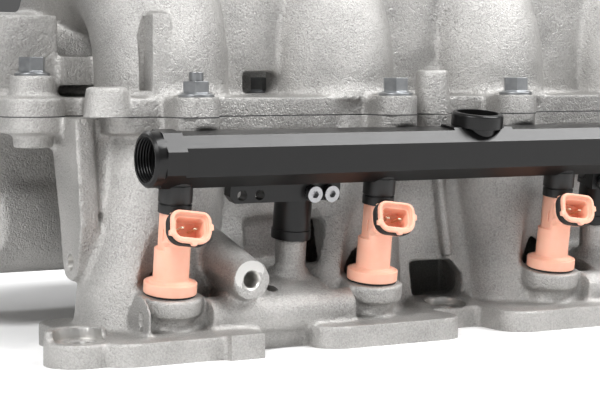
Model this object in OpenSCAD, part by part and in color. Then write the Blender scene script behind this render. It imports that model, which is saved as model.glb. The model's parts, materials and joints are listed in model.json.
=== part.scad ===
// Intake manifold for an inline four-cylinder engine: a lower and an upper casting bolted
// together on a flat split, with a fuel rail and four injectors along the front.
// Frame: X runs along the engine, +Y away from the injectors, +Z up out of the head face.
// The origin is on the head face, midway between cylinders 2 and 3, on the ports' centre line.

/* [Cylinders and ports] */
// Distance between neighbouring cylinders
cyl_pitch = 94; // [93.5:0.1:94.5]
// Radius of each air passage
port_r = 21.4; // [20:0.1:21.8]
// Thickness of the flange that bolts to the head
head_flange_t = 9.2; // [8.8:0.1:9.6]
// Outer radius of a runner in the lower casting
leg_r = 28; // [27:0.1:28.5]
// Outer radius of a runner in the upper casting
runner_r = 28; // [27:0.1:28.2]
// Radius of the centre line of each runner's arch
arch_r = 46; // [45:0.5:47]

/* [Split flange] */
// Height of the split between the two castings
split_z = 93.5; // [92:0.5:95]
// Thickness of the gasket in the split
gasket_t = 0.5; // [0.4:0.1:0.8]
// Distance from the split to the seats of the bolt heads
boss_h = 8; // [7.5:0.1:9]

/* [Plenum] */
// Left end of the plenum
plenum_x0 = -190; // [-192:1:-186]
// Right end of the plenum
plenum_x1 = 165; // [160:1:166]
// Front wall of the plenum
plenum_y0 = 66; // [65:0.5:67]
// Back wall of the plenum
plenum_y1 = 158; // [156:1:160]
// Top of the plenum
plenum_top = 138; // [136:1:142]
// Wall thickness of the plenum
wall = 5; // [4:0.5:6]
// Radius of the throttle bore
throttle_r = 27; // [26:0.5:27.5]

/* [Fuel rail] */
// Distance across the flats of the octagonal rail
rail_af = 22; // [21.6:0.1:22.4]
// Half of the rail's length over its end collars
rail_half = 155; // [152:1:158]
// Radius of the fuel passage along the rail
rail_bore_r = 7; // [6:0.5:7]
// Radius of the threaded ports at the rail's ends
rail_port_r = 9.1; // [8.8:0.1:9.2]

/* [Injectors] */
// Lean of the rail and injectors away from vertical
tilt = 8; // [7:0.5:9]
// Radius of the bore that each injector's inlet plugs into
inlet_bore_r = 6.85; // [6.8:0.05:7]
// Radius of the bore that each injector's lower end plugs into
seat_bore_r = 7.25; // [7.2:0.05:7.4]
// Radius of the collar at the foot of the plastic body
collar_r = 10.6; // [10:0.1:11]

/* [Fasteners] */
// Radius of the main screw threads
screw_r = 3; // [3:0.1:3.1]
// Width across the flats of the hexagon heads
hex_af = 10; // [9.8:0.1:10.2]
// Radius of the flange under each hexagon head
hex_flange_r = 7.25; // [7:0.05:7.4]

/* [Hidden] */
$fn = 96;

eps = 0.01;
far = 600;

// Cylinder positions along X, and where the runners cross the split
cyl_x = [for (i = [-1.5, -0.5, 0.5, 1.5]) i * cyl_pitch];
runner_draw_in = 0.872;
runner_x = [for (x = cyl_x) x * runner_draw_in];
runner_y = 17;
arch_z = split_z + 16.5;
arch_y = runner_y + arch_r;

// Faces on either side of the gasket
lower_top = split_z - gasket_t / 2;
upper_bottom = split_z + gasket_t / 2;
flange_top = split_z + 7.6;
seat_z = split_z + boss_h;
end_seat_z = seat_z + 8.5;
lower_flange_t = 6.5;

// The rail's axis, and stations measured down the leaning axis from it
rail_y = -35;
rail_z = 78;
cap_top_s = 5;
cap_step_s = 17.4;
cap_end_s = 21.3;
barrel_step_s = 35.6;
collar_top_s = 49;
collar_end_s = 53.5;
boss_rim_s = 54.2;
boss_cup_h = 8;
nozzle_end_s = 72;
oring_gap = 0.05;

// Fasteners through the split: [x, y]
front_row_y = -21.5;
end_bolt_at = [[-177, 25], [177, 25]];
split_bolt_at = [[-31.5, front_row_y], [31.5, front_row_y],
                 [-54.2, 54.8], [54.2, 54.8], [129.8, 54.8],
                 [-160, 169], [-80, 169], [0, 169], [80, 169], [150, 169],
                 [-198, 76], [-198, 148], [176, 112]];
split_stud_at = [[-126, front_row_y], [126, front_row_y]];
dowel_at = [[-191, 56], [177, 56]];
dowel_r = 3;
thread_depth = 10.5;
head_bolt_front = [[-181, -30], [181, -30]];
head_bolt_rear = [[-94, 34], [94, 34]];
head_bolt_mid = [0, -13.6];
head_hole_r = 4.5;

// Throttle flange on the plenum's left end
throttle_y = 112;
throttle_z = 58;
throttle_half = 24.5;
throttle_plate = 33;
throttle_x = plenum_x0 - 12;

// Rail mounts
mount_x = [-80, 80];
mount_u = 13.4;
spacer_r = 7.85;
spacer_top_s = 18.9;
spacer_end_s = 37.2;
post_r = 6.8;
tab_t = 2.4;
bar_pitch = 8;
bar_screw_s = 15.7;

metal = "silver";
black = "#1c1c1c";
peach = "#f2b090";

// ---- helpers -------------------------------------------------------------------------

// A rectangle from (x0, y0) to (x1, y1) with round corners
module round_rect(x0, y0, x1, y1, r) {
    translate([x0 + r, y0]) square([x1 - x0 - 2 * r, y1 - y0]);
    translate([x0, y0 + r]) square([x1 - x0, y1 - y0 - 2 * r]);
    for (x = [x0 + r, x1 - r], y = [y0 + r, y1 - r]) translate([x, y]) circle(r);
}

// Places its children on the leaning frame: local -Z runs down the injector axis
module lean(x = 0) translate([x, rail_y, rail_z]) rotate([tilt, 0, 0]) children();

// A cylinder down the leaning axis between two stations
module down(s0, s1, r, r2 = undef)
    translate([0, 0, -s1]) cylinder(r1 = r2 == undef ? r : r2, r2 = r, h = s1 - s0);

// A ring down the leaning axis
module down_ring(s0, s1, r_out, r_in)
    difference() {
        down(s0, s1, r_out);
        down(s0 - 1, s1 + 1, r_in);
    }

// Extrudes an outline drawn in (Y, Z) along X
module along_x(x0, x1) translate([x0, 0, 0]) rotate([90, 0, 90]) linear_extrude(x1 - x0) children();

// A cylinder that leans from (x0, 0, 0) to (x1, y1, h), longer at both ends
module leaning(x0, x1, y1, h, r) {
    dx = x1 - x0;
    len = sqrt(dx * dx + y1 * y1 + h * h);
    translate([x0, 0, 0]) rotate([0, 0, atan2(y1, dx)]) rotate([0, acos(h / len), 0])
        translate([0, 0, -20]) cylinder(r = r, h = len + 40);
}

// Keeps only what lies between two heights
module between(z0, z1)
    intersection() {
        children();
        translate([-far / 2, -far / 2, z0]) cube([far, far, z1 - z0]);
    }

module both_sides() {
    children();
    mirror([1, 0, 0]) children();
}

// ---- split flange --------------------------------------------------------------------

module split_outline() {
    round_rect(-156, -10, 156, 80, 12);
    round_rect(plenum_x0 - 7, plenum_y0 - 10, plenum_x1 + 7, plenum_y1 + 7, 22);
    for (p = end_bolt_at) translate(p) circle(13);
    round_rect(-190, 25, -140, 70, 4);
    translate([140, 25]) square([50 - 10, 45]);
    round_rect(150, 25, 190, 62, 4);
    for (p = concat(split_bolt_at, split_stud_at)) translate(p) circle(9.2);
    for (p = concat([for (i = [0, 1]) split_bolt_at[i]], split_stud_at))
        translate([p[0] - 9.2, p[1]]) square([18.4, 20]);
    for (p = dowel_at) translate(p) circle(8);
}

module plenum_plan(inset) {
    round_rect(plenum_x0 + inset, plenum_y0 + inset, plenum_x1 - inset, plenum_y1 - inset,
               25 - inset);
}

module split_openings() {
    for (x = runner_x) translate([x, runner_y]) circle(port_r);
    plenum_plan(wall + 1);
    for (p = dowel_at) translate(p) circle(dowel_r + oring_gap);
}

// Holes for the split's fasteners, between two heights
module split_holes(z0, z1, r) {
    for (p = concat(split_bolt_at, split_stud_at, end_bolt_at))
        translate([p[0], p[1], z0]) cylinder(r = r, h = z1 - z0);
}

// ---- lower casting -------------------------------------------------------------------

module head_outline() {
    for (x = cyl_x) {
        round_rect(x - 35, -49, x + 35, 33, 12);
        translate([x, 0]) circle(37);
    }
    for (x = [-cyl_pitch, cyl_pitch]) {
        translate([x - 24, -32]) square([48, 62]);
        translate([x, 34]) circle(12.4);
    }
    translate([-30, -22]) square([60, 45]);
    for (p = head_bolt_front) translate(p) circle(13.5);
    both_sides() translate([-180, -42]) square([40, 46]);
}

module head_flange() {
    linear_extrude(head_flange_t) head_outline();
    // foot pads that stand out in front of the flange
    both_sides() translate([-127, -53, 0]) cube([15, 20, 10]);
    // walls behind the end spotfaces
    for (p = head_bolt_front) difference() {
        translate([p[0], p[1], 0]) cylinder(r = 13, h = 13.5);
        translate([p[0] - 20, p[1] - 20, head_flange_t]) cube([40, 21, 20]);
    }
    // centre lug, sloping up to the web
    along_x(-16, 16) polygon([[-22, 0], [-22, head_flange_t], [-6, 13], [4, 13], [4, 0]]);
    for (p = head_bolt_rear) translate([p[0], p[1], 1]) cylinder(r = 11, h = 12);
}

module head_holes() {
    for (p = concat(head_bolt_front, head_bolt_rear, [head_bolt_mid]))
        translate([p[0], p[1], -1]) cylinder(r = head_hole_r, h = 40);
    // spotfaces for the bolt heads
    for (p = head_bolt_front) translate([p[0], p[1], head_flange_t - 0.4]) cylinder(r = 10, h = 12);
    translate([head_bolt_mid[0], head_bolt_mid[1], head_flange_t - 0.4]) cylinder(r = 9, h = 12);
}

// The web of metal between the runners, leaning with them
module web(x0, x1, t = 8)
    between(0, lower_top)
        translate([x0, -t / 2 - 4, 0]) rotate([-atan2(runner_y, split_z), 0, 0])
            translate([0, 0, -20]) cube([x1 - x0, t, 140]);

// Shelf in front of the web, between two neighbouring injector bosses, with its gallery bead
module shelf() {
    along_x(-118, -70)
        polygon([[-38, 14], [-34, 22], [-22, 26.5], [-2, 29], [8, 8], [-31, 8]]);
    translate([-156, -31, 14.5]) rotate([0, 90, 0]) cylinder(r = 8, h = 104);
    translate([-156, -31, 15]) rotate([0, 90, 0]) cylinder(r = 10, h = 14);
}

module injector_boss() {
    down(boss_rim_s, boss_rim_s + boss_cup_h, 13);
    down(boss_rim_s + boss_cup_h - eps, 75, 8.6);
}

// Flat rib beside the end runner, with its hole
module end_rib() {
    along_x(-168, -160) {
        polygon([[30, 93], [19.5, 50], [17, 35], [1, 35], [-3, 50], [2, 93]]);
        translate([9, 35]) circle(8);
    }
    along_x(-168, -134) polygon([[6, 93], [30, 93], [19, 56], [0, 56]]);
}

module plenum_lower_profile(inset) {
    round_rect(60 + inset, 24 + inset, 163 - inset, 70 - inset, 19 - inset);
    translate([plenum_y0 + inset, 45]) square([plenum_y1 - plenum_y0 - 2 * inset, lower_top - 45 + inset]);
}

module plenum_lower(inset) {
    intersection() {
        along_x(plenum_x0 + inset, plenum_x1 - inset) plenum_lower_profile(inset);
        linear_extrude(split_z) round_rect(plenum_x0 + inset, 58 + inset, plenum_x1 - inset,
                                           165 - inset, 25 - inset);
    }
}

module throttle_holes() {
    translate([throttle_x - 1, throttle_y, throttle_z]) rotate([0, 90, 0]) cylinder(r = throttle_r, h = 40);
    for (dy = [-throttle_half, throttle_half], dz = [-throttle_half, throttle_half])
        translate([throttle_x - 1, throttle_y + dy, throttle_z + dz])
            rotate([0, 90, 0]) cylinder(r = screw_r, h = 13);
}

module rail_clearance() lean()
    rotate([0, 90, 0]) rotate([0, 0, 22.5]) translate([0, 0, -rail_half - 2])
        cylinder(r = (rail_af / 2 + 0.9) / cos(22.5), h = 2 * rail_half + 4, $fn = 8);

module lower_casting() {
    color(metal) difference() {
        union() {
            head_flange();
            between(0, lower_top)
                for (i = [0:3]) leaning(cyl_x[i], runner_x[i], runner_y, split_z, leg_r);
            web(-141, 141);
            both_sides() shelf();
            both_sides() end_rib();
            between(0, lower_top) for (x = cyl_x) lean(x) injector_boss();
            // accessory boss
            translate([-112, -42, 29.5]) rotate([-90, 0, 0]) cylinder(r = 8.2, h = 46);
            // posts for the rail mounts
            between(15, lower_top) for (x = mount_x) lean(x) translate([0, mount_u, 0]) {
                down(spacer_end_s, 62, post_r);
                down(50, 62, 8.4);
            }
            // split flange and its bosses
            translate([0, 0, lower_top - lower_flange_t]) linear_extrude(lower_flange_t) split_outline();
            for (p = concat(split_bolt_at, split_stud_at, end_bolt_at))
                translate([p[0], p[1], lower_top - thread_depth - 2]) cylinder(r = 8, h = thread_depth + 2);
            // braces behind the front bolt bosses
            for (p = [split_bolt_at[0], split_bolt_at[1], split_stud_at[0], split_stud_at[1]])
                translate([p[0] - 5, p[1], lower_top - thread_depth - 2]) cube([10, 22, thread_depth + 2]);
            plenum_lower(0);
            along_x(throttle_x, plenum_x0 + 4)
                round_rect(throttle_y - throttle_plate, throttle_z - throttle_plate,
                           throttle_y + throttle_plate, throttle_z + throttle_plate, 10);
            // foot under the plenum, behind the window
            translate([-36, 44, 3]) cube([72, 36, 30]);
            // saddle that ties the runners to the plenum
            translate([-135, 20, 62]) cube([270, 50, 26]);
        }
        for (i = [0:3]) leaning(cyl_x[i], runner_x[i], runner_y, split_z, port_r);
        plenum_lower(wall);
        translate([0, 0, split_z - 30]) linear_extrude(40) plenum_plan(wall + 1);
        head_holes();
        throttle_holes();
        // scoops that clear the injectors
        for (x = cyl_x) lean(x) down(-20, boss_rim_s, 13.4);
        // injector seats, and the passages on to the ports
        for (x = cyl_x) lean(x) {
            down(boss_rim_s - 1, 67, seat_bore_r);
            down(66, 90, 5);
        }
        // threads of the rail mounts, the accessory boss and the split
        for (x = mount_x) lean(x) translate([0, mount_u, 0]) down(spacer_end_s - 1, 52, screw_r);
        translate([-112, -43, 29.5]) rotate([-90, 0, 0]) cylinder(r = screw_r, h = 15);
        translate([-112, -42.01, 29.5]) rotate([-90, 0, 0]) cylinder(r1 = 4, r2 = screw_r, h = 1);
        split_holes(lower_top - thread_depth, lower_top + 1, screw_r);
        for (p = dowel_at) translate([p[0], p[1], lower_top - 5]) cylinder(r = dowel_r + oring_gap, h = 6);
        both_sides() translate([-170, 9, 35]) rotate([0, 90, 0]) cylinder(r = 3.1, h = 14);
        // pockets in the web behind the rail mounts
        both_sides() translate([-93, -14, 31]) cube([31, 17, 19]);
        // window through the centre web
        along_window();
        // slot in the end of the gallery bead
        both_sides() translate([-157, -34, 12]) cube([4, 2.4, 7]);
        rail_clearance();
    }
}

// A rectangular window with two clipped corners
module along_window()
    translate([0, 40, 0]) rotate([90, 0, 0]) linear_extrude(80)
        polygon([[-11.5, 12], [13.5, 12], [15.5, 14], [15.5, 22], [10, 28], [-11.5, 28]]);

// ---- upper casting -------------------------------------------------------------------

// One arched runner of a given radius, from height z0 over into the plenum's top
module arch(x, r, z0) {
    translate([x, runner_y, z0]) cylinder(r = r, h = arch_z - z0);
    translate([x, arch_y, arch_z]) rotate([0, -90, 0]) rotate([0, 0, -90])
        rotate_extrude(angle = 180) translate([arch_r, 0]) circle(r);
}

// An upright web that joins the arches
module arch_web()
    translate([runner_x[0], runner_y - 3, upper_bottom]) cube([runner_x[3] - runner_x[0], 6.5, 58]);

module plenum_upper(inset, z0) {
    intersection() {
        along_x(plenum_x0 + inset, plenum_x1 - inset)
            round_rect(plenum_y0 + inset, 30, plenum_y1 - inset, plenum_top - inset, 30 - inset);
        translate([0, 0, z0]) linear_extrude(120) plenum_plan(inset);
    }
}

module upper_casting() {
    color(metal) difference() {
        union() {
            translate([0, 0, upper_bottom]) linear_extrude(flange_top - upper_bottom) split_outline();
            for (p = concat(split_bolt_at, split_stud_at))
                translate([p[0], p[1], upper_bottom]) cylinder(r = 9.2, h = seat_z - upper_bottom);
            for (x = runner_x) arch(x, runner_r, upper_bottom);
            plenum_upper(0, upper_bottom);
            // solid boss between the middle runners
            translate([12, 20, upper_bottom]) cylinder(r1 = 10, r2 = 7.5, h = 19.5);
            translate([-158, 38, 106]) cube([22, 30, 12]);
            translate([-189, 42, 100]) cube([30.5, 30, 35]);
            // pilaster beside the end runner's bend
            translate([-139, -9, flange_top - 1]) cube([8, 20, 35]);
            // web that joins the arches, and the tall bosses of the end bolts
            arch_web();
            for (p = end_bolt_at)
                translate([p[0], p[1], upper_bottom]) cylinder(r = 9.2, h = end_seat_z - upper_bottom);
        }
        for (x = runner_x) arch(x, port_r, upper_bottom - 1);
        plenum_upper(wall, upper_bottom - 5);
        split_holes(upper_bottom - 1, seat_z + 1, screw_r + 0.3);
        for (p = end_bolt_at) translate([p[0], p[1], upper_bottom - 1]) cylinder(r = screw_r + 0.3, h = 30);
        for (p = concat(split_bolt_at, split_stud_at))
            translate([p[0], p[1], seat_z]) cylinder(r = 8.4, h = 14);
        for (p = end_bolt_at) translate([p[0], p[1], end_seat_z]) cylinder(r = 9.4, h = 14);
        for (p = dowel_at)
            translate([p[0], p[1], upper_bottom - 1]) cylinder(r = dowel_r + oring_gap, h = 6);
    }
}

// ---- split fasteners -----------------------------------------------------------------

module split_gasket() {
    color("#555555") translate([0, 0, lower_top]) linear_extrude(gasket_t) difference() {
        split_outline();
        split_openings();
        for (p = concat(split_bolt_at, split_stud_at, end_bolt_at)) translate(p) circle(screw_r + 0.3);
    }
}

// A flanged hexagon with its seat at z = 0
module flanged_hex(h) {
    cylinder(r = hex_flange_r, h = 1.1);
    translate([0, 0, 1.1]) cylinder(r1 = hex_flange_r, r2 = 5.4, h = 0.9);
    cylinder(r = hex_af / 2 / cos(30), h = h, $fn = 6);
}

module split_bolts() {
    color("gainsboro") for (p = split_bolt_at) translate([p[0], p[1], seat_z]) {
        difference() {
            flanged_hex(7.6);
            translate([0, 0, 6.6]) cylinder(r = 3.4, h = 2);
        }
        translate([0, 0, -boss_h - thread_depth + 2])
            cylinder(r = screw_r - oring_gap, h = boss_h + thread_depth - 1.5);
    }
}

// Longer bolts for the two tall bosses at the ends
module end_bolts() {
    color("gainsboro") for (p = end_bolt_at) translate([p[0], p[1], end_seat_z]) {
        difference() {
            flanged_hex(7.6);
            translate([0, 0, 6.6]) cylinder(r = 3.4, h = 2);
        }
        translate([0, 0, lower_top - thread_depth + 2 - end_seat_z])
            cylinder(r = screw_r - oring_gap, h = end_seat_z - lower_top + thread_depth - 1.5);
    }
}

module split_studs() {
    color("gainsboro") for (p = split_stud_at)
        translate([p[0], p[1], split_z - thread_depth + 1])
            cylinder(r = screw_r - oring_gap, h = boss_h + thread_depth + 9);
}

module split_nuts() {
    color("gainsboro") for (p = split_stud_at) translate([p[0], p[1], seat_z]) difference() {
        flanged_hex(6.4);
        translate([0, 0, -1]) cylinder(r = screw_r, h = 12);
    }
}

module dowel_pins() {
    color("gainsboro") for (p = dowel_at)
        translate([p[0], p[1], lower_top - 4.5]) cylinder(r = dowel_r, h = 9.5);
}

// ---- fuel rail -----------------------------------------------------------------------

module rail_octagon(x0, x1, af)
    rotate([0, 90, 0]) rotate([0, 0, 22.5]) translate([0, 0, x0])
        cylinder(r = af / 2 / cos(22.5), h = x1 - x0, $fn = 8);

module x_cylinder(x0, x1, r) translate([x0, 0, 0]) rotate([0, 90, 0]) cylinder(r = r, h = x1 - x0);

front_flat = 1.15;
collar_len = 4.6;
port_depth = 6.6;
milled_x0 = 13;
pad_half = 15;

module fuel_rail() {
    body_half = rail_half - collar_len;
    color(black) lean() difference() {
        union() {
            rail_octagon(-body_half, body_half, rail_af);
            both_sides() {
                x_cylinder(-rail_half + 1, -body_half + 1, rail_af / 2 + 0.1);
                translate([-rail_half, 0, 0]) rotate([0, 90, 0])
                    cylinder(r1 = rail_af / 2 - 0.9, r2 = rail_af / 2 + 0.1, h = 1);
            }
            // tongues that the brackets are screwed to
            for (x = mount_x) translate([x - 5 + (x < 0 ? 0 : -7), 5.1, -18.4]) cube([17, 3, 11.8]);
        }
        // milled front and top flats
        translate([-rail_half + milled_x0, -rail_af / 2 - 5, -20])
            cube([2 * (rail_half - milled_x0), 5 + front_flat, 40]);
        both_sides() translate([-rail_half + milled_x0, -20, rail_af / 2 - 1])
            cube([rail_half - milled_x0 - pad_half, 40, 5]);
        // fuel passage and end ports
        x_cylinder(-rail_half - 1, rail_half + 1, rail_bore_r);
        both_sides() x_cylinder(-rail_half - 1, -rail_half + port_depth, rail_port_r);
        // injector sockets
        for (x = cyl_x) translate([x, 0, 0]) down(3, 30, inlet_bore_r);
        // centre port and its spotface
        cylinder(r = 8.2, h = 20);
        translate([0, 0, rail_af / 2 - 0.6]) cylinder(r = 11.6, h = 5);
        // threads for the bracket screws
        for (x = mount_x, k = [0, 1])
            translate([x + (x < 0 ? 0.5 : -0.5) + (x < 0 ? k : -k) * bar_pitch, 2, -bar_screw_s])
            rotate([-90, 0, 0]) cylinder(r = 2, h = 8);
    }
}

module centre_port_adapter() {
    color(black) lean() difference() {
        union() {
            translate([0, 0, rail_af / 2 - 0.55]) cylinder(r = 11, h = 5.4);
            translate([0, 0, rail_af / 2 + 4.85]) cylinder(r1 = 11, r2 = 10.2, h = 0.8);
            translate([0, 0, rail_bore_r - 2]) cylinder(r = 8.15, h = 8);
        }
        cylinder(r = 6, h = 14);
        translate([0, 0, rail_af / 2 + 1.5]) cylinder(r = 8.8, h = 12);
    }
}

module rail_end_plug() {
    color("gainsboro") lean() difference() {
        union() {
            x_cylinder(rail_half - port_depth + 0.2, rail_half - 2, rail_port_r - oring_gap);
            x_cylinder(rail_half - port_depth + 0.2, rail_half + 2.6, 7.6);
            x_cylinder(rail_half + 2.1, rail_half + 4.6, 11);
            translate([rail_half + 4.5, 0, 0]) rotate([0, 90, 0])
                cylinder(r = 9.5 / cos(30), h = 7, $fn = 6);
        }
        translate([rail_half - port_depth - 1, 0, 0]) rotate([0, 90, 0]) cylinder(r = 5, h = 6);
    }
}

module rail_end_plug_oring() {
    color(black) lean() translate([rail_half + 1.05, 0, 0]) rotate([0, 90, 0])
        rotate_extrude() translate([8.65, 0]) circle(0.98);
}

// ---- rail mounts ---------------------------------------------------------------------

// A bar with a row of holes and a tab that sits on the spacer, drawn for the left mount
module rail_bracket() {
    tab_s0 = spacer_top_s - tab_t;
    difference() {
        union() {
            intersection() {
                translate([-117, -0.2, -spacer_top_s]) cube([51, 5.2, spacer_top_s - 11.1]);
                translate([0, 20, 0]) rotate([90, 0, 0]) linear_extrude(40)
                    polygon([[-117, -11], [-117, -16], [-114.5, -spacer_top_s],
                             [-66, -spacer_top_s], [-66, -11]]);
            }
            // tab, cut back to clear the rail's tongue
            difference() {
                union() {
                    translate([mount_x[0] - 18, 4, -spacer_top_s]) cube([27, mount_u - 4, tab_t]);
                    translate([mount_x[0], mount_u, 0]) down(tab_s0, spacer_top_s, 9);
                }
                translate([mount_x[0] - 5.4, 3, -spacer_top_s - 1]) cube([20, 5.4, tab_t + 2]);
            }
        }
        for (k = [0, 1, 4, 5]) translate([mount_x[0] + 8.5 - k * bar_pitch, -1, -bar_screw_s])
            rotate([-90, 0, 0]) cylinder(r = 2.1, h = 8);
        translate([mount_x[0], mount_u, 0]) down(tab_s0 - 1, spacer_top_s + 1, screw_r + 0.2);
    }
}

module rail_bracket_left() color(black) lean() rail_bracket();
module rail_bracket_right() color(black) lean() mirror([1, 0, 0]) rail_bracket();

module rail_spacer(x) color(black) lean(x) translate([0, mount_u, 0]) difference() {
    union() {
        down(spacer_top_s + eps, spacer_end_s, spacer_r);
        down(spacer_end_s - 4, spacer_end_s, spacer_r + 0.4);
    }
    down(spacer_top_s - 1, spacer_end_s + 1, screw_r + 0.2);
}
module rail_spacer_left() rail_spacer(mount_x[0]);
module rail_spacer_right() rail_spacer(mount_x[1]);

module rail_mount_bolts() {
    head_s = spacer_top_s - tab_t;
    color("gainsboro") for (x = mount_x) lean(x) translate([0, mount_u, 0]) {
        translate([0, 0, -head_s]) {
            cylinder(r = 5, h = 5);
            translate([0, 0, 4]) cylinder(r = 4.4, h = 1.4);
        }
        down(head_s, spacer_end_s + 11, screw_r - oring_gap);
    }
}

module bracket_screws() {
    color("white") for (side = [0, 1]) lean() mirror([side, 0, 0])
        for (k = [0, 1]) translate([mount_x[0] + 0.5 + k * bar_pitch, -0.25, -bar_screw_s]) {
            rotate([90, 0, 0]) difference() {
                cylinder(r = 3.4, h = 3.2);
                translate([0, 0, 1.4]) cylinder(r = 1.6, h = 3, $fn = 6);
            }
            rotate([-90, 0, 0]) cylinder(r = 1.95, h = 8.2);
        }
}

// ---- injectors -----------------------------------------------------------------------

connector_rise = 17;
connector_s = 31;
mouth_w = 19.6;
mouth_h = 14.7;
mouth_reach = 17.4;
seal_back = 5;

// Places its children on the side connector: local +Z points out of its mouth
module connector_frame()
    translate([0, 0, -connector_s]) rotate([90 - connector_rise - tilt, 0, 0]) children();

module mouth_outline(grow) {
    w = mouth_w + 2 * grow;
    h = mouth_h + 2 * grow;
    round_rect(-w / 2, -h / 2, w / 2, h / 2, 6 + grow);
}

module injector_body(x) color(peach) lean(x) difference() {
    union() {
        down(cap_end_s, barrel_step_s, 6.85);
        down(barrel_step_s, collar_top_s + 1, 7.15);
        down(collar_top_s, collar_end_s, collar_r);
        down(collar_end_s - 1, 60, 6);
        connector_frame() {
            translate([0, 0, 2]) linear_extrude(mouth_reach - 2) mouth_outline(-2.2);
            translate([0, 0, mouth_reach - 1.6 - seal_back]) linear_extrude(1.6) mouth_outline(0.2);
            translate([0, 0, mouth_reach - 2]) linear_extrude(2) mouth_outline(0);
        }
    }
    // recess in the socket
    connector_frame() translate([0, 0, 8]) linear_extrude(20) mouth_outline(-3.8);
    // slot down the side of the barrel
    translate([-8, -1.2, -31]) cube([2.2, 2.4, 8]);
}

module injector_inlet_cap(x) color(black) lean(x) difference() {
    union() {
        down(cap_top_s, cap_end_s - 1, 5.4);
        down(cap_top_s, 6.4, 6.4);
        down(10, cap_step_s - 2.4, inlet_bore_r - 0.08);
        down(cap_step_s - 3, cap_step_s, 6.1);
        down(cap_step_s - 0.6, cap_end_s - oring_gap, 6.5);
    }
    down(cap_top_s - 1, cap_end_s + 1, 2.5);
}

module injector_inlet_oring(x) color(black) lean(x)
    down_ring(6.6, 9.8, inlet_bore_r - oring_gap, 5.45);

module injector_cushion(x) color(black) lean(x)
    down_ring(collar_end_s + 0.05, boss_rim_s - 0.05, 10.2, 7.6);

module injector_nozzle(x) color("gainsboro") lean(x) difference() {
    union() {
        down(60 + oring_gap, nozzle_end_s, 4);
        down(60 + oring_gap, 61, seat_bore_r - 0.1);
        down(64.4, 66, seat_bore_r - 0.1);
    }
    down(59, nozzle_end_s + 1, 1);
}

module injector_seat_oring(x) color(black) lean(x)
    down_ring(61.1, 64.3, seat_bore_r - oring_gap, 4.05);

module injector_connector_seal(x) color(black) lean(x) connector_frame()
    translate([0, 0, mouth_reach - seal_back + oring_gap]) linear_extrude(seal_back - 2 - 2 * oring_gap)
        difference() {
            mouth_outline(0.6);
            mouth_outline(-2.15);
        }

module injector_terminals(x) color("gold") lean(x) connector_frame()
    for (side = [-1, 1]) translate([side * 3.2 - 0.9, -0.4, 8.05]) cube([1.8, 0.8, 6.5]);

module injector_1_body() injector_body(cyl_x[0]);
module injector_2_body() injector_body(cyl_x[1]);
module injector_3_body() injector_body(cyl_x[2]);
module injector_4_body() injector_body(cyl_x[3]);
module injector_1_inlet_cap() injector_inlet_cap(cyl_x[0]);
module injector_2_inlet_cap() injector_inlet_cap(cyl_x[1]);
module injector_3_inlet_cap() injector_inlet_cap(cyl_x[2]);
module injector_4_inlet_cap() injector_inlet_cap(cyl_x[3]);
module injector_1_inlet_oring() injector_inlet_oring(cyl_x[0]);
module injector_2_inlet_oring() injector_inlet_oring(cyl_x[1]);
module injector_3_inlet_oring() injector_inlet_oring(cyl_x[2]);
module injector_4_inlet_oring() injector_inlet_oring(cyl_x[3]);
module injector_1_cushion() injector_cushion(cyl_x[0]);
module injector_2_cushion() injector_cushion(cyl_x[1]);
module injector_3_cushion() injector_cushion(cyl_x[2]);
module injector_4_cushion() injector_cushion(cyl_x[3]);
module injector_1_nozzle() injector_nozzle(cyl_x[0]);
module injector_2_nozzle() injector_nozzle(cyl_x[1]);
module injector_3_nozzle() injector_nozzle(cyl_x[2]);
module injector_4_nozzle() injector_nozzle(cyl_x[3]);
module injector_1_seat_oring() injector_seat_oring(cyl_x[0]);
module injector_2_seat_oring() injector_seat_oring(cyl_x[1]);
module injector_3_seat_oring() injector_seat_oring(cyl_x[2]);
module injector_4_seat_oring() injector_seat_oring(cyl_x[3]);
module injector_1_connector_seal() injector_connector_seal(cyl_x[0]);
module injector_2_connector_seal() injector_connector_seal(cyl_x[1]);
module injector_3_connector_seal() injector_connector_seal(cyl_x[2]);
module injector_4_connector_seal() injector_connector_seal(cyl_x[3]);
module injector_1_terminals() injector_terminals(cyl_x[0]);
module injector_2_terminals() injector_terminals(cyl_x[1]);
module injector_3_terminals() injector_terminals(cyl_x[2]);
module injector_4_terminals() injector_terminals(cyl_x[3]);

lower_casting();
upper_casting();
split_gasket();
split_bolts();
end_bolts();
split_studs();
split_nuts();
dowel_pins();
fuel_rail();
centre_port_adapter();
rail_end_plug();
rail_end_plug_oring();
rail_bracket_left();
rail_bracket_right();
rail_spacer_left();
rail_spacer_right();
rail_mount_bolts();
bracket_screws();
injector_1_body();
injector_1_inlet_cap();
injector_1_inlet_oring();
injector_1_cushion();
injector_1_nozzle();
injector_1_seat_oring();
injector_1_connector_seal();
injector_1_terminals();
injector_2_body();
injector_2_inlet_cap();
injector_2_inlet_oring();
injector_2_cushion();
injector_2_nozzle();
injector_2_seat_oring();
injector_2_connector_seal();
injector_2_terminals();
injector_3_body();
injector_3_inlet_cap();
injector_3_inlet_oring();
injector_3_cushion();
injector_3_nozzle();
injector_3_seat_oring();
injector_3_connector_seal();
injector_3_terminals();
injector_4_body();
injector_4_inlet_cap();
injector_4_inlet_oring();
injector_4_cushion();
injector_4_nozzle();
injector_4_seat_oring();
injector_4_connector_seal();
injector_4_terminals();
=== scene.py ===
# %% [markdown]
# # Intake manifold
# The manifold is two aluminium castings bolted together on a flat split. A black fuel rail
# runs along the front and four injectors stand between it and the lower casting.
# The imported model gives every size and place, so the first cell loads it and keeps its parts and its
# record.

# %% Load the frame
import json
import math

import bpy
import numpy as np
from mathutils import Matrix, Vector


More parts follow.
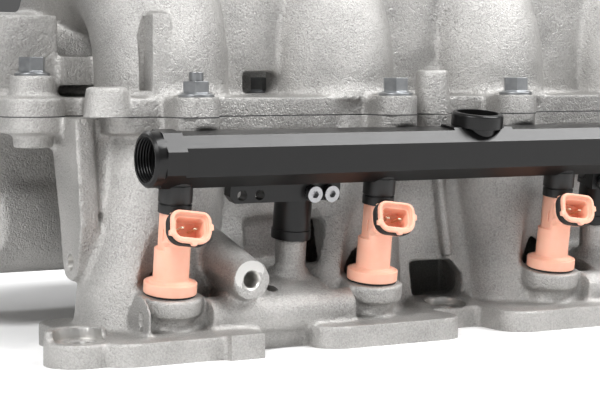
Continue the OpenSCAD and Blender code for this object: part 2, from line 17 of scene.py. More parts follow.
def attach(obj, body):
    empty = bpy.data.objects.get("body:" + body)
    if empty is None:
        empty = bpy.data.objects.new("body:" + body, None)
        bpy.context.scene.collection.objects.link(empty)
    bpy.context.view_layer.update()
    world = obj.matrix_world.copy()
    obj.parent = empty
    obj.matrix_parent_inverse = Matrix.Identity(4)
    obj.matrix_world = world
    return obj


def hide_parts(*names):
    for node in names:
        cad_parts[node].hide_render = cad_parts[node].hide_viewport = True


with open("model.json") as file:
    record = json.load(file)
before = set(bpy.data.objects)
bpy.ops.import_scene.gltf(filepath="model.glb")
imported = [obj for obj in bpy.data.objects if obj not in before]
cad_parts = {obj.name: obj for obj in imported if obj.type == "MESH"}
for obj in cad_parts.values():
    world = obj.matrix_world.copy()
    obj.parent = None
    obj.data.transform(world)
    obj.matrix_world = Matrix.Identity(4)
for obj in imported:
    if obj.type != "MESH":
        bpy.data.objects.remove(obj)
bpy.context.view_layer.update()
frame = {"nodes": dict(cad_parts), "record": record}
MM = 0.001

# %% [markdown]
# ## Camera
# A long lens stands low and to the left, so the rail runs away to the right and every
# upright stays nearly upright. The place and the direction are in millimetres and degrees.

# %% Camera
CAMERA_AT = Vector((-451, -667, 112)) * MM
CAMERA_YAW = math.radians(30)
CAMERA_PITCH = math.radians(4.08)
LENS = 108.6


def add_camera():
    forward = Vector((math.sin(CAMERA_YAW) * math.cos(CAMERA_PITCH),
                      math.cos(CAMERA_YAW) * math.cos(CAMERA_PITCH),
                      -math.sin(CAMERA_PITCH)))
    bpy.ops.object.camera_add(location=CAMERA_AT)
    camera = bpy.context.object
    camera.rotation_euler = forward.to_track_quat("-Z", "Y").to_euler()
    camera.data.lens = LENS
    camera.data.clip_start = 0.01
    bpy.context.scene.camera = camera
    return camera


add_camera()

# %% [markdown]
# ## Light and floor
# The object stands on a pale sheet. A soft key light hangs over the left shoulder of the
# camera. A strip high on the right lies along the rail, so that the rail's sloping upper face
# mirrors it and goes light while the upright face stays black. A weak fill opens the shadows,
# and a long strip behind gives the round runners their bright edges.

# %% Light and floor
FLOOR_HALF = 4.0
LIT_CENTRE = (0.0, 0.03, 0.08)
WORLD_LOW, WORLD_HIGH = 0.11, 0.38


def add_light(name, at, aim, width, height, watts):
    """A soft box whose wide side stays level with the rail."""
    bpy.ops.object.light_add(type="AREA", location=at)
    light = bpy.context.object
    light.name = name
    light.data.shape = "RECTANGLE"
    light.data.size = width
    light.data.size_y = height
    light.data.energy = watts
    back = (Vector(at) - Vector(aim)).normalized()
    wide = (Vector((1, 0, 0)) - back * back.x).normalized()
    light.rotation_euler = Matrix((wide, back.cross(wide), back)).transposed().to_euler()
    return light


def add_floor():
    bpy.ops.mesh.primitive_plane_add(size=2 * FLOOR_HALF, location=(0, 0, 0))
    floor = bpy.context.object
    floor.name = "floor"
    return floor


def add_world(low, high):
    """A studio that is dim round the sides and bright overhead."""
    world = bpy.data.worlds.new("studio")
    bpy.context.scene.world = world
    world.use_nodes = True
    nodes, links = world.node_tree.nodes, world.node_tree.links
    place = nodes.new("ShaderNodeTexCoord")
    split = nodes.new("ShaderNodeSeparateXYZ")
    ramp = nodes.new("ShaderNodeValToRGB")
    ramp.color_ramp.elements[0].position = 0.05
    ramp.color_ramp.elements[0].color = (low, low, low, 1)
    ramp.color_ramp.elements[1].position = 0.75
    ramp.color_ramp.elements[1].color = (high, high, high, 1)
    links.new(place.outputs["Generated"], split.inputs["Vector"])
    links.new(split.outputs["Z"], ramp.inputs["Fac"])
    links.new(ramp.outputs["Color"], nodes["Background"].inputs["Color"])


floor = add_floor()
add_world(WORLD_LOW, WORLD_HIGH)
add_light("key", (-0.95, -0.45, 0.95), LIT_CENTRE, 0.6, 0.5, 15)
add_light("rail_strip", (0.62, -0.42, 1.08), LIT_CENTRE, 0.95, 0.34, 17)
add_light("fill", (1.1, -1.0, 0.5), LIT_CENTRE, 0.9, 0.9, 1.5)
add_light("strip", (-0.3, 1.2, 1.1), LIT_CENTRE, 1.6, 0.3, 7)
bpy.context.scene.view_settings.view_transform = "Standard"
print("lights:", len(bpy.data.lights))

# %% [markdown]
# ## Writing materials as sums
# A material is a small graph of nodes. The class below wraps one socket, so that an ordinary
# sum such as `0.4 + 0.1 * grain` adds its Math nodes, and one method adds any other node.

# %% Material helpers
class Wire:
    """One output socket that takes part in sums."""

    def __init__(self, paint, socket):
        self.paint = paint
        self.socket = socket

    def _sum(self, operation, first, second):
        return self.paint.node("ShaderNodeMath", {"operation": operation}, {0: first, 1: second})

    def __add__(self, other):
        return self._sum("ADD", self, other)

    __radd__ = __add__

    def __mul__(self, other):
        return self._sum("MULTIPLY", self, other)

    __rmul__ = __mul__

    def __sub__(self, other):
        return self._sum("SUBTRACT", self, other)

    def __rsub__(self, other):
        return self._sum("SUBTRACT", other, self)


class Paint:
    """A material while its nodes are being added."""

    def __init__(self, name):
        self.material = bpy.data.materials.new(name)
        self.material.use_nodes = True
        self.tree = self.material.node_tree
        self.shader = self.tree.nodes["Principled BSDF"]
        self.place = self.node("ShaderNodeTexCoord", output="Object")

    def feed(self, socket, value):
        if isinstance(value, Wire):
            self.tree.links.new(value.socket, socket)
        elif socket.type == "RGBA" and len(value) == 3:
            socket.default_value = (*value, 1)
        else:
            socket.default_value = value

    def node(self, kind, settings=None, inputs=None, output=0):
        node = self.tree.nodes.new(kind)
        for key, value in (settings or {}).items():
            if key == "stops":
                self._stops(node.color_ramp, value)
            else:
                setattr(node, key, value)
        for key, value in (inputs or {}).items():
            self.feed(node.inputs[key], value)
        return Wire(self, node.outputs[output])

    def _stops(self, ramp, stops):
        while len(ramp.elements) < len(stops):
            ramp.elements.new(0.5)
        for element, (at, grey) in zip(ramp.elements, stops):
            element.position = at
            element.color = (grey, grey, grey, 1)

    def noise(self, size_mm, detail=2.0, roughness=0.5, stretch=None):
        """Noise whose blobs are about size_mm across."""
        place = self.place
        if stretch:
            place = self.node("ShaderNodeMapping", {}, {"Vector": place, "Scale": stretch})
        return self.node("ShaderNodeTexNoise", {}, {
            "Vector": place, "Scale": 1 / (size_mm * MM), "Detail": detail,
            "Roughness": roughness}, "Fac")

    def ramp(self, value, stops):
        return self.node("ShaderNodeValToRGB", {"stops": stops}, {"Fac": value})

    def mix(self, factor, first, second):
        return self.node("ShaderNodeMix", {"data_type": "RGBA"},
                         {"Factor": factor, "A": first, "B": second}, "Result")

    def bump(self, height, depth_mm, before=None, strength=1.0):
        inputs = {"Height": height, "Distance": depth_mm * MM, "Strength": strength}
        if before:
            inputs["Normal"] = before
        return self.node("ShaderNodeBump", {}, inputs)

    def set(self, **values):
        for key, value in values.items():
            self.feed(self.shader.inputs[key.replace("_", " ")], value)
        return self.material


# %% [markdown]
# ## Finishes
# The castings are aluminium poured in sand and then blasted: thousands of tiny facets sparkle,
# and broader waves show where the mould was uneven. Fine noise in the bump gives the facets
# and a coarse noise moves the colour and the gloss.

# %% Cast and machined aluminium
def cast_aluminium():
    paint = Paint("cast_aluminium")
    broad = paint.noise(22, 3)
    grain = paint.noise(0.8, 3, 0.75)
    pits = paint.ramp(paint.noise(1.6, 2), [(0.0, 0), (0.32, 0), (0.42, 1), (1.0, 1)])
    waves = paint.ramp(broad, [(0.3, 0), (0.7, 1)])
    tone = paint.mix(waves, (0.30, 0.293, 0.283), (0.46, 0.45, 0.436))
    speckle = paint.ramp(grain, [(0.35, 0), (0.65, 1)])
    colour = paint.mix(0.35 * speckle, tone, (0.80, 0.79, 0.77))
    soft = paint.bump(paint.noise(7, 2), 0.25)
    middle = paint.bump(paint.noise(2.4, 2), 0.22, soft)
    fine = paint.bump(grain, 0.45, middle)
    pitted = paint.bump(pits, 0.08, fine)
    return paint.set(Base_Color=colour, Metallic=0.9, Roughness=0.42 + 0.14 * broad,
                     Normal=pitted)


def machined_aluminium():
    paint = Paint("machined_aluminium")
    lines = paint.noise(0.25, 2, 0.5, (1, 1, 6))
    tone = paint.mix(paint.noise(9, 2), (0.60, 0.59, 0.57), (0.72, 0.71, 0.69))
    return paint.set(Base_Color=tone, Metallic=0.95, Roughness=0.28 + 0.12 * lines,
                     Normal=paint.bump(lines, 0.02))


CAST = cast_aluminium()
MACHINED = machined_aluminium()


# %% [markdown]
# The rail and its hardware are black: anodised aluminium with a satin gloss, dull rubber and
# moulded plastic. The bolts are zinc plated and the small socket screws are polished.

# %% Black parts
def black_anodised():
    paint = Paint("black_anodised")
    lines = paint.noise(0.35, 2, 0.5, (0.05, 1, 1))
    handling = paint.noise(14, 3)
    tone = paint.mix(handling, (0.003, 0.003, 0.0035), (0.007, 0.0068, 0.0065))
    return paint.set(Base_Color=tone, Specular_IOR_Level=0.32,
                     Roughness=0.24 + 0.08 * lines + 0.05 * handling,
                     Normal=paint.bump(lines, 0.008))


def black_rubber():
    paint = Paint("black_rubber")
    dust = paint.noise(3, 4, 0.6)
    tone = paint.mix(dust, (0.006, 0.006, 0.006), (0.02, 0.02, 0.02))
    return paint.set(Base_Color=tone, Roughness=0.55 + 0.2 * dust,
                     Normal=paint.bump(paint.noise(0.6, 3), 0.02))


def black_plastic():
    paint = Paint("black_plastic")
    grain = paint.noise(0.5, 3, 0.6)
    tone = paint.mix(grain, (0.005, 0.005, 0.005), (0.013, 0.013, 0.013))
    return paint.set(Base_Color=tone, Roughness=0.36 + 0.16 * grain,
                     Normal=paint.bump(grain, 0.02))


ANODISED = black_anodised()
RUBBER = black_rubber()
BLACK_PLASTIC = black_plastic()


# %% [markdown]
# The large bolts carry a dull grey zinc plating with cloudy patches. The small socket screws
# and the nozzles are bright steel, smeared by handling, and the terminals are tinned brass.
# All are full metals that differ in tone and gloss, so one recipe with other numbers serves.

# %% Bright parts
def zinc_steel():
    paint = Paint("zinc_steel")
    cloud = paint.noise(2.5, 3)
    tone = paint.mix(cloud, (0.26, 0.27, 0.28), (0.42, 0.43, 0.44))
    return paint.set(Base_Color=tone, Metallic=1.0, Roughness=0.26 + 0.16 * cloud,
                     Normal=paint.bump(paint.noise(0.5, 2), 0.01))


def bright_steel():
    paint = Paint("bright_steel")
    smear = paint.noise(1.5, 3)
    tone = paint.mix(smear, (0.26, 0.26, 0.27), (0.42, 0.42, 0.43))
    return paint.set(Base_Color=tone, Metallic=1.0, Roughness=0.22 + 0.14 * smear,
                     Normal=paint.bump(smear, 0.004))


def brass():
    paint = Paint("terminal_metal")
    stain = paint.noise(0.8, 3)
    tone = paint.mix(stain, (0.72, 0.58, 0.36), (0.86, 0.80, 0.66))
    return paint.set(Base_Color=tone, Metallic=1.0, Roughness=0.22 + 0.15 * stain,
                     Normal=paint.bump(stain, 0.004))


ZINC = zinc_steel()
BRIGHT = bright_steel()
BRASS = brass()


# %% [markdown]
# The injector bodies are moulded in a peach-coloured, glass-filled nylon. Light enters a thin
# wall of it and comes out warmer, so it gets a little subsurface scatter, and a fibre noise
# takes the polish off. The gasket is a dark coated sheet, and the floor is plain paper.

# %% Peach plastic, gasket and floor
def peach_plastic():
    paint = Paint("peach_plastic")
    flow = paint.noise(6, 3)
    fibre = paint.noise(0.4, 3, 0.6)
    tone = paint.mix(flow, (0.87, 0.42, 0.29), (0.93, 0.53, 0.40))
    return paint.set(Base_Color=tone, Roughness=0.42 + 0.12 * fibre, Subsurface_Weight=0.18,
                     Subsurface_Radius=(1.0, 0.4, 0.25), Subsurface_Scale=0.0015,
                     Normal=paint.bump(fibre, 0.012))


def gasket_sheet():
    paint = Paint("gasket_sheet")
    fibre = paint.noise(0.7, 3)
    tone = paint.mix(fibre, (0.03, 0.03, 0.03), (0.08, 0.08, 0.08))
    return paint.set(Base_Color=tone, Roughness=0.7 + 0.1 * fibre)


def paper():
    paint = Paint("studio_paper")
    tone = paint.mix(paint.noise(300, 1), (0.93, 0.93, 0.93), (0.95, 0.95, 0.95))
    return paint.set(Base_Color=tone, Roughness=0.9)


PEACH = peach_plastic()
GASKET = gasket_sheet()
floor.data.materials.append(paper())
print("finishes:", len(bpy.data.materials))

# %% [markdown]
# ## Working with meshes
# The helpers below copy a imported piece, round its edges, and hand a finished piece over:
# it rides on its body, takes its finish and hides the node that it stands for.

# %% Mesh helpers
def only(*objects):
    """Selects these objects and nothing else."""
    bpy.ops.object.select_all(action="DESELECT")
    for one in objects:
        one.select_set(True)
    bpy.context.view_layer.objects.active = objects[0]


def edit(*steps):
    """Runs edit-mode steps on everything in the active mesh."""
    bpy.ops.object.mode_set(mode="EDIT")
    bpy.ops.mesh.select_all(action="SELECT")
    for step in steps:
        step()
    bpy.ops.object.mode_set(mode="OBJECT")


def weld():
    bpy.ops.mesh.remove_doubles(threshold=0.002 * MM)


def facing_out():
    bpy.ops.mesh.normals_make_consistent(inside=False)


def modify(piece, kind, **settings):
    """Adds one modifier and applies it."""
    only(piece)
    modifier = piece.modifiers.new(kind.lower(), kind)
    for key, value in settings.items():
        setattr(modifier, key, value)
    bpy.ops.object.modifier_apply(modifier=modifier.name)


def copy_of(node, name):
    """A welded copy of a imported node's mesh, as a new object."""
    piece = bpy.data.objects.new(name, frame["nodes"][node].data.copy())
    bpy.context.collection.objects.link(piece)
    piece.data.materials.clear()
    for key in list(piece.keys()):
        del piece[key]
    only(piece)
    edit(weld)
    return piece


def join(pieces, name):
    only(*pieces)
    if len(pieces) > 1:
        bpy.ops.object.join()
    bpy.context.object.name = name
    return bpy.context.object


def hand_over(piece, body, finish, slot, *nodes):
    """Finishes a piece: its material, its body and the nodes that it stands for; the slot is not used.
    """
    if finish:
        piece.data.materials.clear()
        piece.data.materials.append(finish)
    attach(piece, body)
    if nodes:
        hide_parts(*nodes)
    return piece


def triangles(piece):
    return sum(len(face.vertices) - 2 for face in piece.data.polygons)


BODIES = frame["record"]["behaviour"]["bodies"]
MAIN = "manifold"


def rounded_copy(node, width_mm, body, finish, slot, segments=2, angle=32):
    """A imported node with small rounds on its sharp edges."""
    piece = copy_of(node, node + "_finished")
    edit(lambda: bpy.ops.mesh.dissolve_limited(angle_limit=math.radians(0.6)))
    modify(piece, "BEVEL", width=width_mm * MM, segments=segments, limit_method="ANGLE",
           angle_limit=math.radians(angle), use_clamp_overlap=True)
    only(piece)
    bpy.ops.object.shade_smooth_by_angle(angle=math.radians(50))
    modify(piece, "WEIGHTED_NORMAL", mode="FACE_AREA", weight=90, keep_sharp=True)
    return hand_over(piece, body, finish, slot, node)


# %% [markdown]
# ## Castings
# A casting has no sharp inner corner: molten metal fills each one with a fillet. The packed
# castings are plain solids, so each is copied, turned into an even skin by a voxel remesh, and
# relaxed in passes that fill hollows much more than they wear ridges. Faces that a real shop
# would mill are stretched outwards first and cut flat and crisp afterwards.

# %% Casting helpers
def stretch_faces(piece, level_mm, by_mm):
    """Moves every vertex that lies at one height up or down."""
    mesh = piece.data
    at = np.empty(len(mesh.vertices) * 3)
    mesh.vertices.foreach_get("co", at)
    at = at.reshape(-1, 3)
    at[np.abs(at[:, 2] - level_mm * MM) < 0.03 * MM, 2] += by_mm * MM
    mesh.vertices.foreach_set("co", at.ravel())
    mesh.update()


def vertex_normals(mesh):
    normals = np.empty(len(mesh.vertices) * 3)
    mesh.vertices.foreach_get("normal", normals)
    return normals.reshape(-1, 3)


def fill_hollows(piece, passes, hollow=0.5, ridge=0.12):
    """Relaxes a mesh: inner corners fill up, outer corners are only eased."""
    mesh = piece.data
    count = len(mesh.vertices)
    at = np.empty(count * 3)
    mesh.vertices.foreach_get("co", at)
    at = at.reshape(-1, 3)
    ends = np.empty(len(mesh.edges) * 2, dtype=np.int64)
    mesh.edges.foreach_get("vertices", ends)
    first, second = ends.reshape(-1, 2).T
    neighbours = np.bincount(first, minlength=count) + np.bincount(second, minlength=count)
    share = 1.0 / np.maximum(neighbours, 1)
    for step in range(passes):
        if step % 4 == 0:
            mesh.vertices.foreach_set("co", at.ravel())
            mesh.update()
            normals = vertex_normals(mesh)
        middle = np.empty_like(at)
        for axis in range(3):
            column = at[:, axis]
            middle[:, axis] = (np.bincount(first, column[second], count)
                               + np.bincount(second, column[first], count)) * share
        pull = middle - at
        rise = np.einsum("ij,ij->i", pull, normals)
        at += pull * np.where(rise > 0, hollow, ridge)[:, None]
    mesh.vertices.foreach_set("co", at.ravel())
    mesh.update()


def cylinder(radius_mm, start_mm, end_mm, segments=64, top_mm=None):
    """A closed cylinder or cone between two points, for cutting or adding metal."""
    start, end = Vector(start_mm) * MM, Vector(end_mm) * MM
    along = end - start
    bpy.ops.mesh.primitive_cone_add(vertices=segments, radius1=radius_mm * MM,
                                    radius2=(radius_mm if top_mm is None else top_mm) * MM,
                                    depth=along.length)
    made = bpy.context.object
    made.data.transform(Matrix.Translation((start + end) / 2)
                        @ along.to_track_quat("Z", "Y").to_matrix().to_4x4())
    return made


def block(low_mm, high_mm):
    """A closed box between two corners."""
    low, high = Vector(low_mm) * MM, Vector(high_mm) * MM
    bpy.ops.mesh.primitive_cube_add(size=1)
    made = bpy.context.object
    made.data.transform(Matrix.Translation((low + high) / 2) @ Matrix.Diagonal((*(high - low), 1)))
    return made


def add_metal(piece, shapes):
    """Joins closed shapes to a mesh; the remesh melts them into one skin."""
    return join([piece, *shapes], piece.name)


def skin(piece, voxel_mm, passes, limit):
    """Turns overlapping solids into one soft skin of at most limit triangles."""
    modify(piece, "REMESH", mode="VOXEL", voxel_size=voxel_mm * MM, adaptivity=0.0)
    fill_hollows(piece, passes)
    made = triangles(piece)
    if made > limit:
        modify(piece, "DECIMATE", ratio=limit / made)
    print(piece.name, "skin:", made, "->", triangles(piece), "triangles")


def cut(piece, tools, finish=None):
    """Cuts closed tools out of a mesh; the cut faces take the tools' finish."""
    for tool in tools:
        tool.data.materials.clear()
        tool.data.materials.append(finish or MACHINED)
    tool = join(tools, "tool") if len(tools) > 1 else tools[0]
    only(piece)
    modifier = piece.modifiers.new("cut", "BOOLEAN")
    modifier.operation = "DIFFERENCE"
    modifier.object = tool
    modifier.solver = "MANIFOLD"
    modifier.material_mode = "TRANSFER"
    bpy.ops.object.modifier_apply(modifier=modifier.name)
    bpy.data.objects.remove(tool, do_unlink=True)


def smooth_by_angle(piece, degrees):
    only(piece)
    bpy.ops.object.shade_smooth_by_angle(angle=math.radians(degrees))


# %% [markdown]
# Both castings meet at the split, and both follow the lean of the injectors. These heights and
# stations are named once, in millimetres, so that each later cut lands on the right face.

# %% Sizes that the castings share
SPLIT = 93.5
HALF_GASKET = 0.25
LOWER_TOP = SPLIT - HALF_GASKET
UPPER_BOTTOM = SPLIT + HALF_GASKET
SEAT = SPLIT + 8
END_SEAT = SEAT + 8.5
END_BOLTS = [(-177, 25), (177, 25)]
TILT = math.radians(8)
RAIL_Y, RAIL_Z = -35, 78
CYLINDERS = [-141, -47, 47, 141]
MOUNTS = [-80, 80]
MOUNT_BACK = 13.4
SKIN_VOXEL, SKIN_PASSES = 1.0, 14
CONE_SPOT = (-9, -16)


def station(x, down, back=0):
    """A point on the leaning frame of the rail: down the injector axis and back from it."""
    return (x,
            RAIL_Y + back * math.cos(TILT) + down * math.sin(TILT),
            RAIL_Z + back * math.sin(TILT) - down * math.cos(TILT))


# %% [markdown]
# The lower casting is poured in sand: legs, injector cups on short necks, and an oval bead
# that ties them together. The cups and necks are turned shapes, so cylinders make them, and
# the remesh then melts them into the legs. The head face, the split and the bolt seats are
# milled, so they are cut last and stay sharp.

# %% Lower casting
HEAD_BOLTS = [(-181, -30), (181, -30), (-94, 34), (94, 34), (0, -13.6)]


FLANGE_TOP = 10
HEAD_SEAT = 8.8


def lower_shapes():
    """Solids that the remesh melts into the legs."""
    cups = [cylinder(13, station(x, 54.3), station(x, 61.5), 96) for x in CYLINDERS]
    necks = [cylinder(9.8, station(x, 60), station(x, 73), 96) for x in CYLINDERS]
    boss_body = cylinder(7.6, (-112, -41, 29.5), (-117, -8, 41), top_mm=9.5)
    window_rib = cylinder(2.6, (6, -6.5, 30), (7, 9, 92), 32)
    foot = block((28, 46, 1), (58, 73, 33))
    cone = cylinder(8.2, (*CONE_SPOT, 84), (*CONE_SPOT, LOWER_TOP + 3))
    return [boss_body, window_rib, foot, cone, *cups, *necks]


def lower_casting():
    piece = copy_of("lower_casting", "lower_casting_finished")
    stretch_faces(piece, LOWER_TOP, 3)
    stretch_faces(piece, 0, -3)
    room = [block((x - 14, -64, FLANGE_TOP), (x + 14, -31.5, 24.4)) for x in CYLINDERS]
    cut(piece, room)
    piece.data.materials.clear()
    piece = add_metal(piece, lower_shapes())
    skin(piece, SKIN_VOXEL, SKIN_PASSES, 170000)
    piece.data.materials.append(CAST)
    cut(piece, [block((-260, -90, LOWER_TOP), (240, 220, LOWER_TOP + 20)),
                block((-260, -90, -20), (240, 220, 0))])
    cut(piece, [cylinder(4.7, (x, y, -5), (x, y, 30)) for x, y in HEAD_BOLTS])
    seats = [cylinder(10.1, (x, y, HEAD_SEAT), (x, y, 19)) for x, y in HEAD_BOLTS[:2]]
    seats += [cylinder(9.1, (0, -13.6, HEAD_SEAT), (0, -13.6, 22)),
              cylinder(8.6, (-112, -50, 29.5), (-112, -42, 29.5))]
    seats += [cylinder(7.6, station(x, 34, MOUNT_BACK), station(x, 37.2, MOUNT_BACK)) for x in MOUNTS]
    cut(piece, seats)
    cut(piece, [cylinder(4.4, (-112, -42.5, 29.5), (-112, -40.6, 29.5), top_mm=2.9)])
    cut(piece, [cylinder(3.1, (-112, -60, 29.5), (-112, -27, 29.5)),
                cylinder(3.2, (-171, 9, 35), (-154, 9, 35)),
                cylinder(3.2, (171, 9, 35), (154, 9, 35)),
                cylinder(27.1, (-215, 112, 58), (-180, 112, 58), 96)])
    cut(piece, [cylinder(7.25, station(x, 50), station(x, 67)) for x in CYLINDERS])
    cut(piece, [cylinder(2.6, (-96, -38, 33), (-96, -22, 17)),
                block((-159, -35, 11), (-151, -31.8, 18))], CAST)
    smooth_by_angle(piece, 40)
    return hand_over(piece, MAIN, None, "cast_aluminium", "lower_casting")


lower = lower_casting()
print("lower casting:", triangles(lower), "triangles")

# %% [markdown]
# The upper casting holds the four runners. Cone-shaped lugs stand on its flange, small fins at
# the root of each runner melt into it, and an opening in the web shows the bolt behind it. The
# seats under the bolt heads are milled flat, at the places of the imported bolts.

# %% Upper casting
def split_fasteners():
    """The places of the split's bolts and studs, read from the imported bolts."""
    places = []
    for node in ("split_bolts", "split_studs"):
        mesh = frame["nodes"][node].data
        at = np.empty(len(mesh.vertices) * 3)
        mesh.vertices.foreach_get("co", at)
        at = at.reshape(-1, 3) / MM
        spots = [tuple(spot) for spot in at[:, :2]]
        groups = []
        for spot in spots:
            for group in groups:
                if math.dist(group[0], spot) < 16:
                    group.append(spot)
                    break
            else:
                groups.append([spot])
        for group in groups:
            low, high = np.min(group, 0), np.max(group, 0)
            places.append(tuple((low + high) / 2))
    return places


FASTENERS = split_fasteners()
print("split fasteners:", [tuple(round(float(v), 1) for v in place) for place in FASTENERS])


RUNNERS = [0.872 * x for x in CYLINDERS]
RUNNER_R, RUNNER_Y = 28, 17


def root_fins():
    """Small upright fins that stiffen the root of each runner, where it leaves the flange."""
    fins = []
    for x in RUNNERS:
        for step in range(-5, 6):
            turn = math.radians(7.5 * step)
            out = Vector((math.sin(turn), -math.cos(turn), 0))
            foot = Vector((x, RUNNER_Y, SPLIT + 6)) + out * (RUNNER_R + 1.6)
            tip = Vector((x, RUNNER_Y, SPLIT + 13.5)) + out * (RUNNER_R - 0.6)
            fins.append(cylinder(1.25, foot, tip, 12, top_mm=0.7))
    return fins


def upper_casting():
    piece = copy_of("upper_casting", "upper_casting_finished")
    stretch_faces(piece, UPPER_BOTTOM, -3)
    stretch_faces(piece, SEAT, 0.8)
    stretch_faces(piece, END_SEAT, 0.8)
    cut(piece, [block((-86, 8, 102.5), (-69, 26, 111.5))])
    piece.data.materials.clear()
    corners = [cylinder(9.8, (x, -4, UPPER_BOTTOM - 3), (x, -4, SPLIT + 12.2), top_mm=8.2)
               for x in (-157, 157)]
    cone = cylinder(8.2, (*CONE_SPOT, UPPER_BOTTOM - 3), (*CONE_SPOT, 112.5), top_mm=6.8)
    piece = add_metal(piece, [*corners, cone, *root_fins()])
    skin(piece, SKIN_VOXEL, SKIN_PASSES, 185000)
    piece.data.materials.append(CAST)
    cut(piece, [block((-260, -90, UPPER_BOTTOM - 20), (240, 220, UPPER_BOTTOM))])
    cut(piece, [cylinder(9.7, (x, y, SEAT), (x, y, SEAT + 12)) for x, y in FASTENERS])
    cut(piece, [cylinder(9.7, (x, y, END_SEAT), (x, y, END_SEAT + 12)) for x, y in END_BOLTS])
    cut(piece, [block((-142.4, -12, 104), (-139.2, -1, 134))], CAST)
    smooth_by_angle(piece, 40)
    return hand_over(piece, MAIN, None, "cast_aluminium", "upper_casting")


upper = upper_casting()
print("upper casting:", triangles(upper), "triangles")

# %% [markdown]
# ## Rail and hardware
# The rail is a machined bar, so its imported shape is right, and only the edges need the tiny
# rounds that catch the light. The same goes for the bolts, studs, nuts and screws.

# %% Rail and hardware
rounded_copy("fuel_rail", 0.35, MAIN, ANODISED, "black_anodised")
rounded_copy("centre_port_adapter", 0.3, MAIN, ANODISED, "black_anodised")
rounded_copy("rail_end_plug", 0.3, MAIN, ANODISED, "black_anodised")
for side in ("left", "right"):
    rounded_copy(f"rail_bracket_{side}", 0.3, MAIN, ANODISED, "black_anodised")
    rounded_copy(f"rail_spacer_{side}", 0.3, MAIN, ANODISED, "black_anodised")
for node in ("split_bolts", "end_bolts", "split_studs", "split_nuts", "rail_mount_bolts"):
    rounded_copy(node, 0.25, MAIN, ZINC, "zinc_steel")
rounded_copy("bracket_screws", 0.25, MAIN, BRIGHT, "bright_steel")

# %% [markdown]
# The open end of the rail is tapped for a hose fitting. Each turn of the thread is a thin
# ring set into the wall of the port, which reads as a thread from outside.

# %% Port thread
THREAD_START, THREAD_PITCH, THREAD_TURNS = -153.9, 1.2, 5


def port_thread():
    rings = []
    for turn in range(THREAD_TURNS):
        bpy.ops.mesh.primitive_torus_add(major_radius=9.0 * MM, minor_radius=0.42 * MM,
                                         major_segments=72, minor_segments=10)
        ring = bpy.context.object
        along = THREAD_START + THREAD_PITCH * turn
        ring.data.transform(Matrix.Translation(Vector((along, RAIL_Y, RAIL_Z)) * MM)
                            @ Matrix.Rotation(math.pi / 2, 4, "Y"))
        rings.append(ring)
    thread = join(rings, "rail_port_thread")
    only(thread)
    bpy.ops.object.shade_smooth()
    return hand_over(thread, MAIN, ANODISED, "black_anodised")


thread = port_thread()
print("port thread:", triangles(thread), "triangles")

# %% [markdown]
# ## Injectors
# An injector body is one moulding: a barrel with a flat recess, a wide collar and a side
# connector with a thick lip. It is put together from simple solids in its own frame, whose
# origin is on the rail's axis and whose -Z runs down the injector. A fine remesh then gives
# every corner the soft edge of moulded plastic, and four copies lean into their places.

# %% Injector helpers
CONNECTOR_DOWN = 31
CONNECTOR_RISE = math.radians(17)
MOUTH_W, MOUTH_H, MOUTH_REACH = 19.6, 14.7, 17.4
CONNECTOR = (Matrix.Translation((0, 0, -CONNECTOR_DOWN * MM))
             @ Matrix.Rotation(math.pi / 2 - CONNECTOR_RISE - TILT, 4, "X"))
SLIM = Matrix.Rotation(math.radians(-8), 4, "Z") @ Matrix.Diagonal((0.87, 0.87, 1, 1))


def pick_edges(piece, chosen):
    """Selects the edges whose two ends both pass a test on millimetre positions."""
    bpy.ops.object.mode_set(mode="EDIT")
    bpy.ops.mesh.select_mode(type="EDGE")
    bpy.ops.mesh.select_all(action="DESELECT")
    bpy.ops.object.mode_set(mode="OBJECT")
    mesh = piece.data
    for edge in mesh.edges:
        ends = [mesh.vertices[end].co / MM for end in edge.vertices]
        edge.select = bool(chosen(*ends))


def plug(width, height, near, far, low_round, top_round, shift=0.0):
    """A prism with rounded corners along +Z, as the connector's walls are."""
    piece = block((-width / 2, -height / 2 + shift, near), (width / 2, height / 2 + shift, far))
    for side, size in ((-1, low_round), (1, top_round)):
        pick_edges(piece, lambda a, b: abs(a.z - b.z) > 0.5 * (far - near)
                   and (a.y - shift) * side > 0 and (b.y - shift) * side > 0)
        bpy.ops.object.mode_set(mode="EDIT")
        bpy.ops.mesh.bevel(offset=size * MM, segments=8)
        bpy.ops.object.mode_set(mode="OBJECT")
    return piece


def place(pieces, matrix):
    for piece in pieces:
        piece.data.transform(matrix)
    return pieces


def melt(piece, voxel_mm, passes, limit):
    """A fine skin for a moulded piece."""
    skin(piece, voxel_mm, passes, limit)
    only(piece)
    bpy.ops.object.shade_smooth()


# %% [markdown]
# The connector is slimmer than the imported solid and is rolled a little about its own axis.
# `SLIM` holds that change, and the seal and the terminals take it too. The socket and the flats
# of the barrel are cut after the first remesh, and a second, finer one softens their edges.

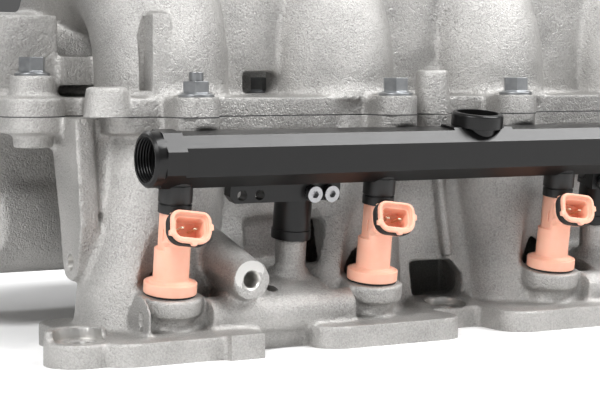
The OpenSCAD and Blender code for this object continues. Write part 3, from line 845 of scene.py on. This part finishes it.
# %% Injector body
def injector_body():
    barrel = cylinder(7.15, (0, 0, -21.3), (0, 0, -50), 96)
    collar = cylinder(10.6, (0, 0, -49), (0, 0, -53.5), 96)
    collar_edge = cylinder(8.4, (0, 0, -48.2), (0, 0, -49.4), 96, top_mm=9.6)
    foot = cylinder(6, (0, 0, -53), (0, 0, -60), 64)
    neck = plug(15.2, 10.3, 2, MOUTH_REACH - 1, 4.4, 3)
    flange = plug(MOUTH_W + 0.4, MOUTH_H + 0.4, 10.8, 12.4, 6, 4.6)
    saddle = plug(15.6, 11.6, 5.0, 11.5, 5, 4)
    lip = plug(MOUTH_W, MOUTH_H, 15.4, MOUTH_REACH, 6, 4.2)
    tabs = [block((MOUTH_W / 2 - 1, -0.6, 15.4), (MOUTH_W / 2 + 1.1, 2.0, MOUTH_REACH)),
            block((0.2, -MOUTH_H / 2 - 1.0, 15.4), (2.6, -MOUTH_H / 2 + 1, MOUTH_REACH)),
            block((-MOUTH_W / 2 - 0.8, -4.6, 15.4), (-MOUTH_W / 2 + 1.4, -2.2, MOUTH_REACH))]
    ear = cylinder(2.1, (-7.4, -5.4, 5), (-7.4, -5.4, 12.4), 32)
    place([neck, flange, saddle, lip, ear, *tabs], CONNECTOR @ SLIM)
    piece = join([barrel, collar, collar_edge, foot, neck, flange, saddle, lip, ear, *tabs], "injector")
    skin(piece, 0.3, 1, 10 ** 7)
    socket = [plug(13.6, 8.8, 8, 30, 3, 2), plug(16.6, 11.5, 15.9, 30, 4.6, 3.2, 0.45)]
    place(socket, CONNECTOR @ SLIM)
    left = block((-9, -9, -35.6), (-5.5, 9, -20))
    back = block((-9, -9, -35.6), (-5.8, 9, -20))
    back.data.transform(Matrix.Rotation(math.radians(-32), 4, "Z"))
    slot = block((-6.5, -2.5, -32.4), (-4.4, -1.8, -27.4))
    seam = block((-5.9, -4.6, -35.6), (-5.0, -4.1, -21))
    for tool in (*socket, left, back, slot, seam):
        cut(piece, [tool])
    melt(piece, 0.22, 3, 42000)
    return piece


def leaning(x):
    """The injector's own frame, standing at one cylinder."""
    return Matrix.Translation((x * MM, RAIL_Y * MM, RAIL_Z * MM)) @ Matrix.Rotation(TILT, 4, "X")


def four_copies(piece, name, finish, slot):
    """Places a copy of a piece on each leaning injector axis."""
    for number, x in enumerate(CYLINDERS, 1):
        copy = bpy.data.objects.new(f"injector_{number}_{name}_finished", piece.data.copy())
        bpy.context.collection.objects.link(copy)
        copy.data.transform(leaning(x))
        hand_over(copy, f"injector_{number}", finish, slot, f"injector_{number}_{name}")
    print("injector", name, "has", triangles(piece), "triangles")
    bpy.data.objects.remove(piece, do_unlink=True)


four_copies(injector_body(), "body", PEACH, "peach_plastic")

# %% [markdown]
# The black inlet cap sits on the barrel: an upper sleeve, a thin groove and a narrower skirt.
# Five short cylinders on one axis give its steps, as a lathe would, and a fine remesh joins
# them and takes the sharpness off their rims.

# %% Inlet cap
def inlet_cap():
    sleeve = cylinder(6.75, (0, 0, -10), (0, 0, -17.0), 96)
    waist = cylinder(6.1, (0, 0, -9), (0, 0, -21), 96)
    skirt = cylinder(6.62, (0, 0, -17.7), (0, 0, -21.25), 96)
    head = cylinder(6.4, (0, 0, -5), (0, 0, -6.4), 96)
    stem = cylinder(5.4, (0, 0, -5), (0, 0, -10.5), 96)
    piece = join([sleeve, waist, skirt, head, stem], "inlet_cap")
    skin(piece, 0.2, 2, 14000)
    smooth_by_angle(piece, 40)
    return piece


four_copies(inlet_cap(), "inlet_cap", BLACK_PLASTIC, "black_plastic")

# %% [markdown]
# The seals are moulded rubber rings and the terminals are stamped blades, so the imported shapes
# only need their edges eased. The gasket, the dowels and the hidden O-rings stay as packed and
# only take a finish.

# %% Seals, terminals and the other small pieces
for number in range(1, 5):
    body = f"injector_{number}"
    seal = rounded_copy(f"{body}_connector_seal", 0.4, body, RUBBER, "rubber")
    blades = rounded_copy(f"{body}_terminals", 0.15, body, BRASS, "terminal")
    frame_of = leaning(CYLINDERS[number - 1]) @ CONNECTOR
    place([seal, blades], frame_of @ SLIM @ frame_of.inverted())
    rounded_copy(f"{body}_cushion", 0.15, body, RUBBER, "rubber")
    rounded_copy(f"{body}_nozzle", 0.15, body, BRIGHT, "bright_steel")
KEEP = {"split_gasket": GASKET, "dowel_pins": ZINC, "rail_end_plug_oring": RUBBER}
for number in range(1, 5):
    KEEP.update({f"injector_{number}_inlet_oring": RUBBER, f"injector_{number}_seat_oring": RUBBER})
for node, finish in KEEP.items():
    mesh = frame["nodes"][node].data
    if mesh.materials:
        for index in range(len(mesh.materials)):
            mesh.materials[index] = finish
    else:
        mesh.materials.append(finish)
